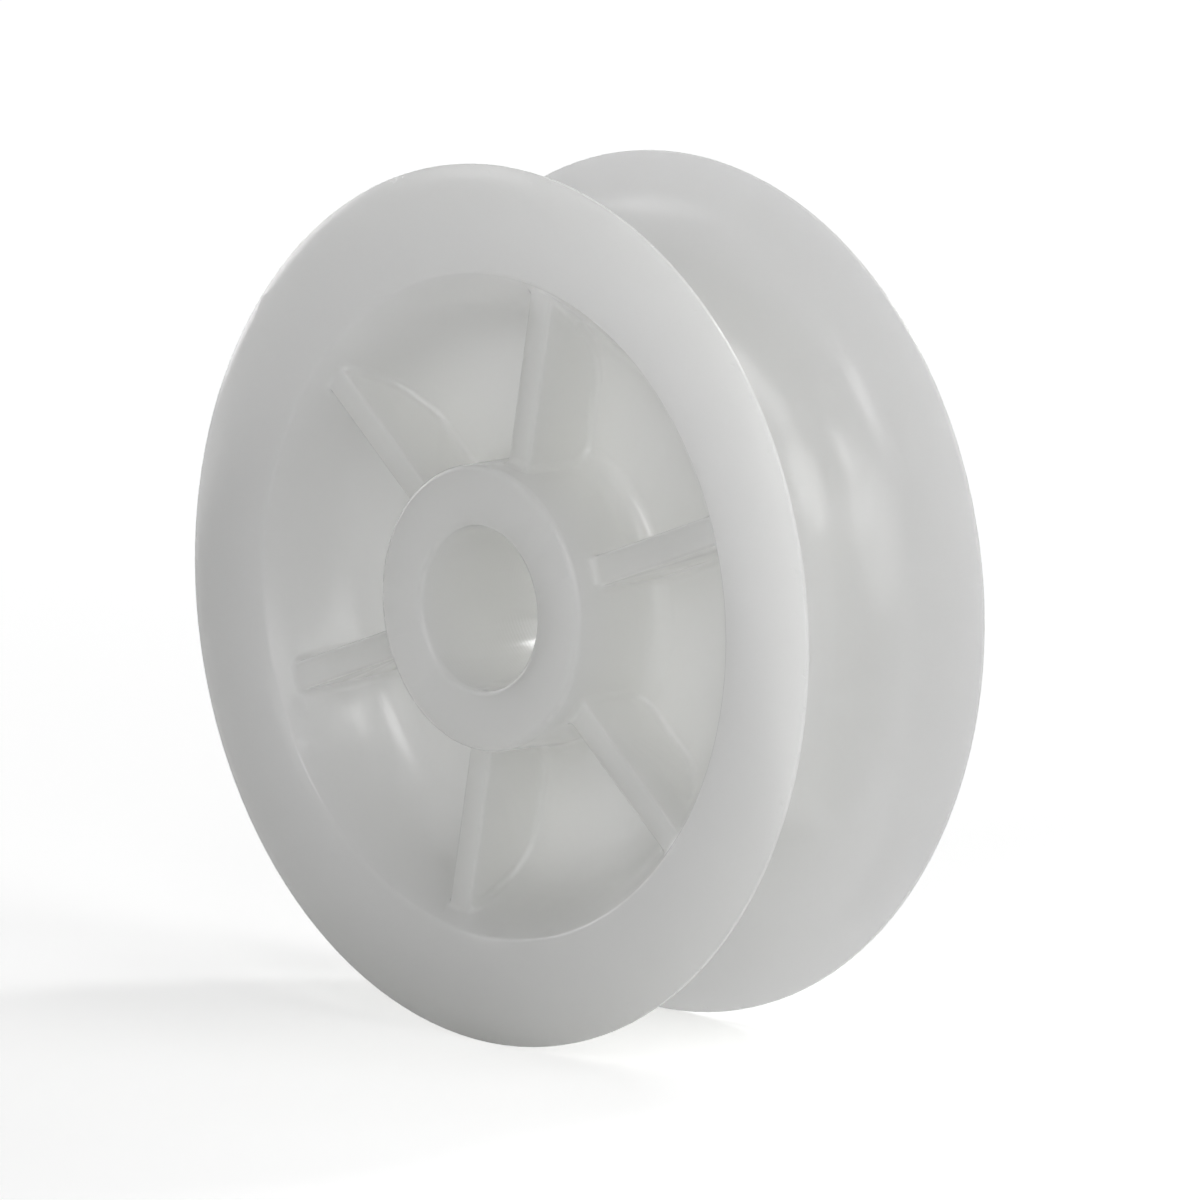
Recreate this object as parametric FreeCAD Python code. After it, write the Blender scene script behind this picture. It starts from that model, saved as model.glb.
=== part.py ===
import FreeCAD, Part
import math
import os

from FreeCAD import Vector

# Moulded rope pulley: one piece of plastic with a round groove, a plain bored hub and,
# on each side, a dished web stiffened by straight ribs.
# Frame: origin at the wheel's centre, axle along Y, Z up, the seen face towards -Y.
# Driving dimensions in millimetres and degrees.

# Flanges and rope groove
flange_diameter = 80.0
flange_width = 22.8  # across both flange edges
flange_land = 0.4  # flat edge left between a flange's face and the groove
flange_edge_round = 0.15
groove_depth = 12.0
groove_flank_angle = 8.0  # each flank, from square to the axle
rim_wall = 3.5  # plastic left between the groove and both ends of the dish's wall
rim_crown = 0.9  # how far a flange's face swells above its two edges
rim_edge_round = 0.7

# Hub and bore
hub_diameter = 26.0
hub_width = 25.0
hub_edge_round = 0.6
bore_diameter = 15.0
bore_edge_round = 0.5

# Web and ribs
web_thickness = 5.5
hub_root_round = 2.4
rim_root_round = 8.0
rib_count = 6
rib_thickness = 2.7  # across a rib's top
rib_recess = 2.7  # from the hub's end face down to a rib's top
rib_edge_round = 0.3
rib_root_round = 0.8
rib_turn = 19.2  # first rib, anticlockwise from X as the front is seen
mould_draft = 1.5  # taper of hub and ribs for release from the mould

# Sizes that follow
flange_radius = flange_diameter / 2
flange_half = flange_width / 2
groove_half = flange_half - flange_land
hub_radius = hub_diameter / 2
hub_half = hub_width / 2
bore_radius = bore_diameter / 2
web_half = web_thickness / 2
rib_top = hub_half - rib_recess
rib_step = 360 / rib_count
draft_slope = math.tan(math.radians(mould_draft))
rib_foot_half = rib_thickness / 2 + rib_top * draft_slope

# The groove's bottom is the arc that touches both flanks at the stated depth. The dish's
# outer wall is a plain cone, whose foot and rim each stand the rim's wall off that arc.
flank_sine = math.sin(math.radians(groove_flank_angle))
flank_cosine = math.cos(math.radians(groove_flank_angle))
groove_radius = (groove_half * flank_cosine - groove_depth * flank_sine) / (1 - flank_sine)
groove_centre = flange_radius - groove_depth + groove_radius
dish_radius = groove_radius + rim_wall

centre = Vector(0, 0, 0)
axle = Vector(0, 1, 0)
drawing_plane = Part.Plane(centre, Vector(0, 0, 1))


def flipped(point):
    """The same point on the other side of the wheel's middle plane."""
    return point and Vector(point.x, -point.y, point.z)


def around_groove(radius, angle):
    """Point of the section on a circle about the groove's centre, angle from the middle plane."""
    return Vector(groove_centre - radius * math.cos(angle), radius * math.sin(angle), 0)


def closed_face(corners):
    """Face from corners given as place, rounding and a point on the arc to the next corner.

    The point is None where the way to the next corner is straight.
    """
    edges = []
    for (start, _, way), (end, _, _) in zip(corners, corners[1:] + corners[:1]):
        side = Part.Arc(start, way, end) if way else Part.LineSegment(start, end)
        edges.append(side.toShape())
    bends = []
    for index, (place, rounding, _) in enumerate(corners):
        if rounding:
            tool = Part.ChFi2d.FilletAlgo()
            tool.init(edges[index - 1], edges[index], drawing_plane)
            tool.perform(rounding)
            bend, edges[index - 1], edges[index] = tool.result(place)
            bends.append(bend)
    return Part.Face(Part.Wire(Part.__sortEdges__(edges + bends)))


def side_corners():
    """Corners of one side of the wheel's section, from the bore out to the groove."""
    hub_foot = hub_radius + (hub_half - web_half) * draft_slope
    dish_foot = math.asin(web_half / dish_radius)
    dish_rim = math.asin(flange_half / dish_radius)
    rim_inner = around_groove(dish_radius, dish_rim)
    crown = Vector((rim_inner.x + flange_radius) / 2, flange_half + rim_crown, 0)
    flank_foot = around_groove(groove_radius, math.radians(90 - groove_flank_angle))
    return [
        (Vector(bore_radius, hub_half, 0), bore_edge_round, None),
        (Vector(hub_radius, hub_half, 0), hub_edge_round, None),
        (Vector(hub_foot, web_half, 0), hub_root_round, None),
        (around_groove(dish_radius, dish_foot), rim_root_round, None),
        (rim_inner, rim_edge_round, crown),
        (Vector(flange_radius, flange_half, 0), flange_edge_round, None),
        (Vector(flange_radius, groove_half, 0), flange_edge_round, None),
        (flank_foot, 0, around_groove(groove_radius, 0)),
    ]


def turned_wheel():
    """Hub, web, rim and groove in one turn of the section, without ribs."""
    near = side_corners()
    ways = [None] + [flipped(way) for _, _, way in near[:-1]]
    far = [(flipped(place), rounding, way) for (place, rounding, _), way in zip(near, ways)]
    return closed_face(near + far[::-1]).revolve(centre, axle, 360)


def rib_room():
    """Ring in which a rib runs, from inside the hub to half way into the rim's wall."""
    inside_hub = (bore_radius + hub_radius) / 2
    inside_rim = groove_radius + rim_wall / 2
    top_angle = math.asin(rib_top / inside_rim)
    corners = [
        (Vector(inside_hub, 0, 0), 0, None),
        (around_groove(inside_rim, 0), 0, around_groove(inside_rim, top_angle / 2)),
        (around_groove(inside_rim, top_angle), 0, None),
        (Vector(inside_hub, rib_top, 0), 0, None),
    ]
    return closed_face(corners).revolve(centre, axle, 360)


def rib():
    """One tapered rib on the far side, standing upright above the hub."""
    corners = [
        (Vector(-rib_foot_half, 0, 0), 0, None),
        (Vector(rib_foot_half, 0, 0), 0, None),
        (Vector(rib_thickness / 2, rib_top, 0), rib_edge_round, None),
        (Vector(-rib_thickness / 2, rib_top, 0), rib_edge_round, None),
    ]
    bar = closed_face(corners).extrude(Vector(0, 0, flange_radius))
    return bar.common(rib_room())


def ribs():
    """All ribs of both sides, each pair back to back across the web."""
    upright = 90
    first = rib()
    placed = []
    for number in range(rib_count):
        one = first.copy()
        one.rotate(centre, axle, upright - rib_turn - number * rib_step)
        placed += [one, one.mirror(centre, axle)]
    return placed


def on_rib(face):
    """True for the faces of a rib, which alone are centred on the line of one."""
    middle = face.CenterOfMass
    reach = math.hypot(middle.x, middle.z)
    turn = math.degrees(math.atan2(middle.z, middle.x)) - rib_turn
    off_line = (turn + rib_step / 2) % rib_step - rib_step / 2
    return reach > hub_radius and abs(reach * math.sin(math.radians(off_line))) < rib_foot_half


def rib_roots(shape):
    """Edges where the ribs meet the web, the hub and the rim."""
    roots = []
    for edge in shape.Edges:
        faces = shape.ancestorsOfType(edge, Part.Face)
        if sum(on_rib(face) for face in faces) == 1:
            roots.append(edge)
    return roots


def pulley_wheel():
    """The finished moulding, its ribs blended into all that they meet."""
    ribbed = turned_wheel().fuse(ribs()).removeSplitter()
    (solid,) = ribbed.makeFillet(rib_root_round, rib_roots(ribbed)).Solids
    return solid


os.makedirs("parts", exist_ok=True)
pulley_wheel().exportStep("parts/pulley_wheel.step")
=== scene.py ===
import bmesh
import bpy
import math
from mathutils import Matrix, Vector


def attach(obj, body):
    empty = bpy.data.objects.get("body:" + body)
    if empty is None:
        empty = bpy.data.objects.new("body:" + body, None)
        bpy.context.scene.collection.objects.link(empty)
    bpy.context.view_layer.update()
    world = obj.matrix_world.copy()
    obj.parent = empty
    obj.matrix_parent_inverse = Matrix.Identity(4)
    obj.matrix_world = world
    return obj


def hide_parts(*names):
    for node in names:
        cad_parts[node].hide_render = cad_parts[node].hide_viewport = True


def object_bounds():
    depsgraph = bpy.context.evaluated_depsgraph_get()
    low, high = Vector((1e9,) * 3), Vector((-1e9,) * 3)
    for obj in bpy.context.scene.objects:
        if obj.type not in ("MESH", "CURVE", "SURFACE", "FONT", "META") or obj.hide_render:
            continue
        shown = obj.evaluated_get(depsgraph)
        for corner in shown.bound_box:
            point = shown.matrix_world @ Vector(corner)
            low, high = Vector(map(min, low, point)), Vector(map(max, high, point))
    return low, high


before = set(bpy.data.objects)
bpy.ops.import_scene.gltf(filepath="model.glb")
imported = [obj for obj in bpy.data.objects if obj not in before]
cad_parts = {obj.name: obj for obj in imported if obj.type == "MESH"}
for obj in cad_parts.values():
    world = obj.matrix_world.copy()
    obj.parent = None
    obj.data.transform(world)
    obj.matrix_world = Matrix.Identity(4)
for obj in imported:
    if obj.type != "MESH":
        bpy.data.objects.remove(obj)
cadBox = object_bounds()
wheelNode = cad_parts["pulley_wheel"]
wheelRadius = cadBox[1].z
print("frame loaded, wheel radius", round(wheelRadius, 4))


class Value:  # a node's socket that can be used in sums
    def __init__(self, tree, socket):
        self.tree = tree
        self.socket = socket

    def maths(self, operation, first, second):
        return self.tree.add("ShaderNodeMath", {"operation": operation}, {0: first, 1: second})

    def __add__(self, other):
        return self.maths("ADD", self, other)

    def __sub__(self, other):
        return self.maths("SUBTRACT", self, other)

    def __mul__(self, other):
        return self.maths("MULTIPLY", self, other)

    def __truediv__(self, other):
        return self.maths("DIVIDE", self, other)

    def __pow__(self, other):
        return self.maths("POWER", self, other)

    def __rsub__(self, other):
        return self.maths("SUBTRACT", other, self)

    __radd__ = __add__
    __rmul__ = __mul__


class Nodes:  # the nodes of one material, world or geometry tree
    def __init__(self, tree):
        self.nodes = tree.nodes
        self.links = tree.links
        self.nodes.clear()

    def add(self, kind, settings=None, sockets=None, output=0):
        node = self.nodes.new(kind)
        for name, setting in (settings or {}).items():
            setattr(node, name, setting)
        for name, value in (sockets or {}).items():
            for source in value if isinstance(value, list) else [value]:
                if isinstance(source, Value):
                    self.links.new(source.socket, node.inputs[name])
                else:
                    node.inputs[name].default_value = source
        return Value(self, node.outputs[output]) if node.outputs else node

    def noise(self, place, size, detail):
        return self.add("ShaderNodeTexNoise", None,
                        {"Vector": place, "Scale": 1 / size, "Detail": detail})

    def sine(self, angle):
        return self.add("ShaderNodeMath", {"operation": "SINE"}, {0: angle})

    def fade(self, value, start, end):
        return self.add("ShaderNodeMapRange", {"interpolation_type": "SMOOTHSTEP"},
                        {"Value": value, "From Min": start, "From Max": end})

    def blend(self, factor, first, second):  # by number, since a Mix node's sockets share names
        return self.add("ShaderNodeMix", {"data_type": "RGBA"},
                        {0: factor, 6: first, 7: second}, output=2)


# Natural plastic, milky enough for light to wander right through the walls, in metres
plastic = {
    "clear": (0.966, 0.973, 0.924, 1),
    "milky": (0.98, 0.985, 0.952, 1),
    "cloudSize": 0.02,  # across one cloud of tone
    "lightReach": 0.018,  # how far light wanders inside
    "refraction": 1.53,
    "gloss": 0.215,  # lower is shinier
    "glossDrift": 0.04,
    "peelSize": 0.0009,  # grain of the moulded skin
    "peelDepth": 0.000004,
    "ringPitch": 0.0004,  # tool rings left in the bore
    "ringDepth": 0.0000025,
    "boreReach": 0.0078,  # radius at which the rings begin to fade
    "boreFade": 0.0003,
    "lipWidth": 0.0012,  # band of scuffs along the flange edges
    "nickSize": 0.0011,
    "nickDepth": 0.00003,
    "nickShare": 0.62,  # higher leaves fewer nicks
    "nickFade": 0.08,
}


def naturalPlastic():
    material = bpy.data.materials.new("naturalPlastic")
    material.use_nodes = True
    shading = Nodes(material.node_tree)
    place = shading.add("ShaderNodeTexCoord", output="Object")
    x, y, z = (shading.add("ShaderNodeSeparateXYZ", None, {0: place}, output=axis)
               for axis in "XYZ")
    radius = (x * x + z * z) ** 0.5
    cloud = shading.noise(place, plastic["cloudSize"], 3)
    peel = shading.noise(place, plastic["peelSize"], 1)
    ringEnd = plastic["boreReach"] + plastic["boreFade"]
    inBore = 1 - shading.fade(radius, plastic["boreReach"], ringEnd)
    rings = inBore * shading.sine(y * (2 * math.pi / plastic["ringPitch"]))
    onLip = shading.fade(radius, wheelRadius - plastic["lipWidth"], wheelRadius)
    spots = shading.noise(place, plastic["nickSize"], 2)
    deepest = plastic["nickShare"] + plastic["nickFade"]
    nicks = onLip * shading.fade(spots, plastic["nickShare"], deepest)
    height = (peel * plastic["peelDepth"] + rings * plastic["ringDepth"]
              - nicks * plastic["nickDepth"])
    skin = shading.add("ShaderNodeBump", None, {"Height": height, "Distance": 1, "Strength": 1})
    body = shading.add("ShaderNodeBsdfPrincipled", {"subsurface_method": "RANDOM_WALK"}, {
        "Base Color": shading.blend(cloud, plastic["clear"], plastic["milky"]),
        "Roughness": plastic["gloss"] + plastic["glossDrift"] * (cloud - 0.5),
        "Subsurface Weight": 1,
        "Subsurface Radius": (1, 1, 1),
        "Subsurface Scale": plastic["lightReach"],
        "IOR": plastic["refraction"],
        "Normal": skin,
    })
    shading.add("ShaderNodeOutputMaterial", None, {"Surface": body})
    return material


# Wheel: half a sector of the CAD wheel, from a rib's middle to the next pocket's middle, which
# the tree mirrors into one rib with its two half pockets and repeats round the axle
wheel = {
    "Rib Count": 6,
    "First Rib": math.radians(19.2),  # anticlockwise from X as the front is seen
    "Weld Distance": 0.000002,  # metres
}


def cutHalfSector():
    mesh = bpy.data.meshes.new("halfSector")
    cut = bmesh.new()
    cut.from_mesh(wheelNode.data)
    bmesh.ops.remove_doubles(cut, verts=cut.verts, dist=wheel["Weld Distance"])
    ribOnX = Matrix.Rotation(wheel["First Rib"], 4, "Y")
    bmesh.ops.transform(cut, matrix=ribOnX, verts=cut.verts)
    pocketMiddle = math.pi / wheel["Rib Count"]
    for outwards in ((0, 0, -1), (-math.sin(pocketMiddle), 0, math.cos(pocketMiddle))):
        everything = cut.verts[:] + cut.edges[:] + cut.faces[:]
        bmesh.ops.bisect_plane(cut, geom=everything, plane_co=(0, 0, 0), plane_no=outwards,
                               dist=wheel["Weld Distance"], use_snap_center=True,
                               clear_outer=True)
    cut.to_mesh(mesh)
    cut.free()
    return mesh


def repeatTree():
    tree = bpy.data.node_groups.new("repeatSector", "GeometryNodeTree")
    sockets = {"Half Sector": "Geometry", "Rib Count": "Int", "First Rib": "Float",
               "Weld Distance": "Float", "Plastic": "Material"}
    for name, kind in sockets.items():
        tree.interface.new_socket(name, in_out="INPUT", socket_type="NodeSocket" + kind)
    tree.interface.new_socket("Wheel", in_out="OUTPUT", socket_type="NodeSocketGeometry")
    steps = Nodes(tree)
    half, count, first, weld, plasticSlot = (
        steps.add("NodeGroupInput", output=name) for name in sockets)
    mirrored = steps.add("GeometryNodeTransform", None, {"Geometry": half, "Scale": (1, 1, -1)})
    facing = steps.add("GeometryNodeFlipFaces", None, {"Mesh": mirrored})  # outwards again
    sector = steps.add("GeometryNodeJoinGeometry", None, {"Geometry": [half, facing]})
    places = steps.add("GeometryNodePoints", None, {"Count": count})
    turn = first + steps.add("GeometryNodeInputIndex") * (2 * math.pi) / count
    aboutAxle = steps.add("ShaderNodeCombineXYZ", None, {"Y": 0 - turn})
    rotation = steps.add("FunctionNodeEulerToRotation", None, {"Euler": aboutAxle})
    around = steps.add("GeometryNodeInstanceOnPoints", None,
                       {"Points": places, "Instance": sector, "Rotation": rotation})
    whole = steps.add("GeometryNodeRealizeInstances", None, {"Geometry": around})
    welded = steps.add("GeometryNodeMergeByDistance", None,
                       {"Geometry": whole, "Distance": weld})
    smooth = steps.add("GeometryNodeSetShadeSmooth", None, {"Geometry": welded})
    finished = steps.add("GeometryNodeSetMaterial", None,
                         {"Geometry": smooth, "Material": plasticSlot})
    steps.add("NodeGroupOutput", None, {"Wheel": finished})
    return tree


def makeWheel():
    values = {**wheel, "Plastic": naturalPlastic()}
    halfSector = cutHalfSector()
    halfSector.materials.append(values["Plastic"])
    piece = bpy.data.objects.new("ribbedWheel", halfSector)
    repeat = piece.modifiers.new("repeat", "NODES")
    repeat.node_group = repeatTree()
    for socket in repeat.node_group.interface.items_tree:
        if socket.name in values:
            repeat[socket.identifier] = values[socket.name]
    normals = piece.modifiers.new("normals", "DATA_TRANSFER")  # the CAD surfaces' exact ones
    normals.object = wheelNode
    normals.use_loop_data = True
    normals.data_types_loops = {"CUSTOM_NORMAL"}
    normals.loop_mapping = "POLYINTERP_NEAREST"
    bpy.context.scene.collection.objects.link(piece)
    graph = bpy.context.evaluated_depsgraph_get()
    mesh = bpy.data.meshes.new_from_object(piece.evaluated_get(graph), depsgraph=graph)
    piece.modifiers.clear()
    piece.data = mesh
    bpy.data.meshes.remove(halfSector)
    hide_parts("pulley_wheel")
    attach(piece, "root")
    return piece


ribbedWheel = makeWheel()
print("wheel repeated from its half sector:", len(ribbedWheel.data.polygons), "faces")


# Studio: pale floor, a ring of soft lamps and a white room, in metres
studio = {
    "floorSize": 6.0,  # from the middle to an edge
    "floorTone": 0.88,
    "nearGlow": 0.55,  # seen but not lit onto the wheel, so that open floor comes out white
    "farGlow": 1.0,
    "farFrom": 1.4,  # from the wheel
    "lampDistance": 1.0,
    "lamps": {  # direction from the wheel, width, watts
        "left": ((-0.71, -0.57, 0.41), 0.22, 0.24),
        "leftFill": ((-0.96, -0.02, 0.27), 0.5, 1.6),
        "front": ((-0.15, -0.98, 0.12), 0.3, 0.2),
        "frontTop": ((0.08, -0.91, 0.4), 0.24, 0.84),
        "cameraSide": ((0.68, -0.68, 0.26), 0.7, 1.98),
        "window": ((0.6, -0.53, 0.6), 0.2, 0.36),
        "key": ((0.8, 0.15, 0.57), 0.5, 1.68),
        "top": ((0.48, 0.13, 0.87), 0.25, 0.4),
        "overhead": ((0.2, 0.3, 0.93), 0.4, 0.88),
        "backTop": ((0.15, 0.76, 0.63), 0.18, 1.5),
        "backRight": ((0.3, 0.9, 0.3), 0.7, 1.9),
    },
}


def seenDirectly(shading):
    rays = [shading.add("ShaderNodeLightPath", output=name) for name in
            ("Is Camera Ray", "Is Glossy Ray", "Is Transmission Ray")]
    return rays[0] + rays[1] + rays[2]


def makeFloor():
    size = studio["floorSize"]
    mesh = bpy.data.meshes.new("floor")
    square = ((-1, -1), (1, -1), (1, 1), (-1, 1))
    corners = [(x * size, y * size, cadBox[0].z) for x, y in square]
    mesh.from_pydata(corners, [], [(0, 1, 2, 3)])
    floor = bpy.data.objects.new("floor", mesh)
    bpy.context.scene.collection.objects.link(floor)
    material = bpy.data.materials.new("paleFloor")
    material.use_nodes = True
    shading = Nodes(material.node_tree)
    tone = studio["floorTone"]
    matt = shading.add("ShaderNodeBsdfDiffuse", None, {"Color": (tone, tone, tone, 1)})
    place = shading.add("ShaderNodeTexCoord", output="Object")
    away = shading.add("ShaderNodeVectorMath", {"operation": "LENGTH"}, {0: place},
                       output="Value")
    rise = shading.fade(away, 0, studio["farFrom"]) * (studio["farGlow"] - studio["nearGlow"])
    glow = shading.add("ShaderNodeEmission", None,
                       {"Strength": seenDirectly(shading) * (studio["nearGlow"] + rise)})
    both = shading.add("ShaderNodeAddShader", None, {0: matt, 1: glow})
    shading.add("ShaderNodeOutputMaterial", None, {"Surface": both})
    mesh.materials.append(material)


def makeRoom():  # white where it is seen, and no light on the wheel
    world = bpy.data.worlds.new("room")
    bpy.context.scene.world = world
    world.use_nodes = True
    shading = Nodes(world.node_tree)
    room = shading.add("ShaderNodeBackground", None,
                       {"Color": (1, 1, 1, 1), "Strength": seenDirectly(shading)})
    shading.add("ShaderNodeOutputWorld", None, {"Surface": room})


def makeLamps():
    for name, (direction, width, power) in studio["lamps"].items():
        lamp = bpy.data.lights.new(name, "AREA")
        lamp.shape = "DISK"
        lamp.size = width
        lamp.energy = power
        holder = bpy.data.objects.new(name, lamp)
        holder.visible_camera = False
        bpy.context.scene.collection.objects.link(holder)
        away = Vector(direction).normalized()
        turn = away.to_track_quat("Z", "Y").to_matrix().to_4x4()
        holder.matrix_world = Matrix.Translation(away * studio["lampDistance"]) @ turn


makeFloor()
makeRoom()
makeLamps()
print("studio set")


# Camera, fitted to the two flange outlines of the photograph
lens = {
    "azimuth": 45.615,  # degrees
    "elevation": 8.187,
    "distance": 15.838,  # in wheel radii, as the next two are
    "aside": 0.05209,
    "below": 0.01167,
    "focal": 208.18,  # millimetres
    "nearest": 0.01,  # metres
}


def makeCamera():
    turn, rise = math.radians(lens["azimuth"]), math.radians(lens["elevation"])
    level = math.cos(rise)
    back = Vector((math.sin(turn) * level, -math.cos(turn) * level, math.sin(rise)))
    right = Vector((math.cos(turn), math.sin(turn), 0))
    up = back.cross(right)
    camera = bpy.data.cameras.new("camera")
    camera.lens = lens["focal"]
    camera.clip_start = lens["nearest"]
    holder = bpy.data.objects.new("camera", camera)
    bpy.context.scene.collection.objects.link(holder)
    place = (back * lens["distance"] + right * lens["aside"] - up * lens["below"]) * wheelRadius
    aim = Matrix((right, up, back)).transposed().to_4x4()
    holder.matrix_world = Matrix.Translation(place) @ aim
    bpy.context.scene.camera = holder


makeCamera()
bpy.context.scene.view_settings.view_transform = "Standard"
print("camera set")
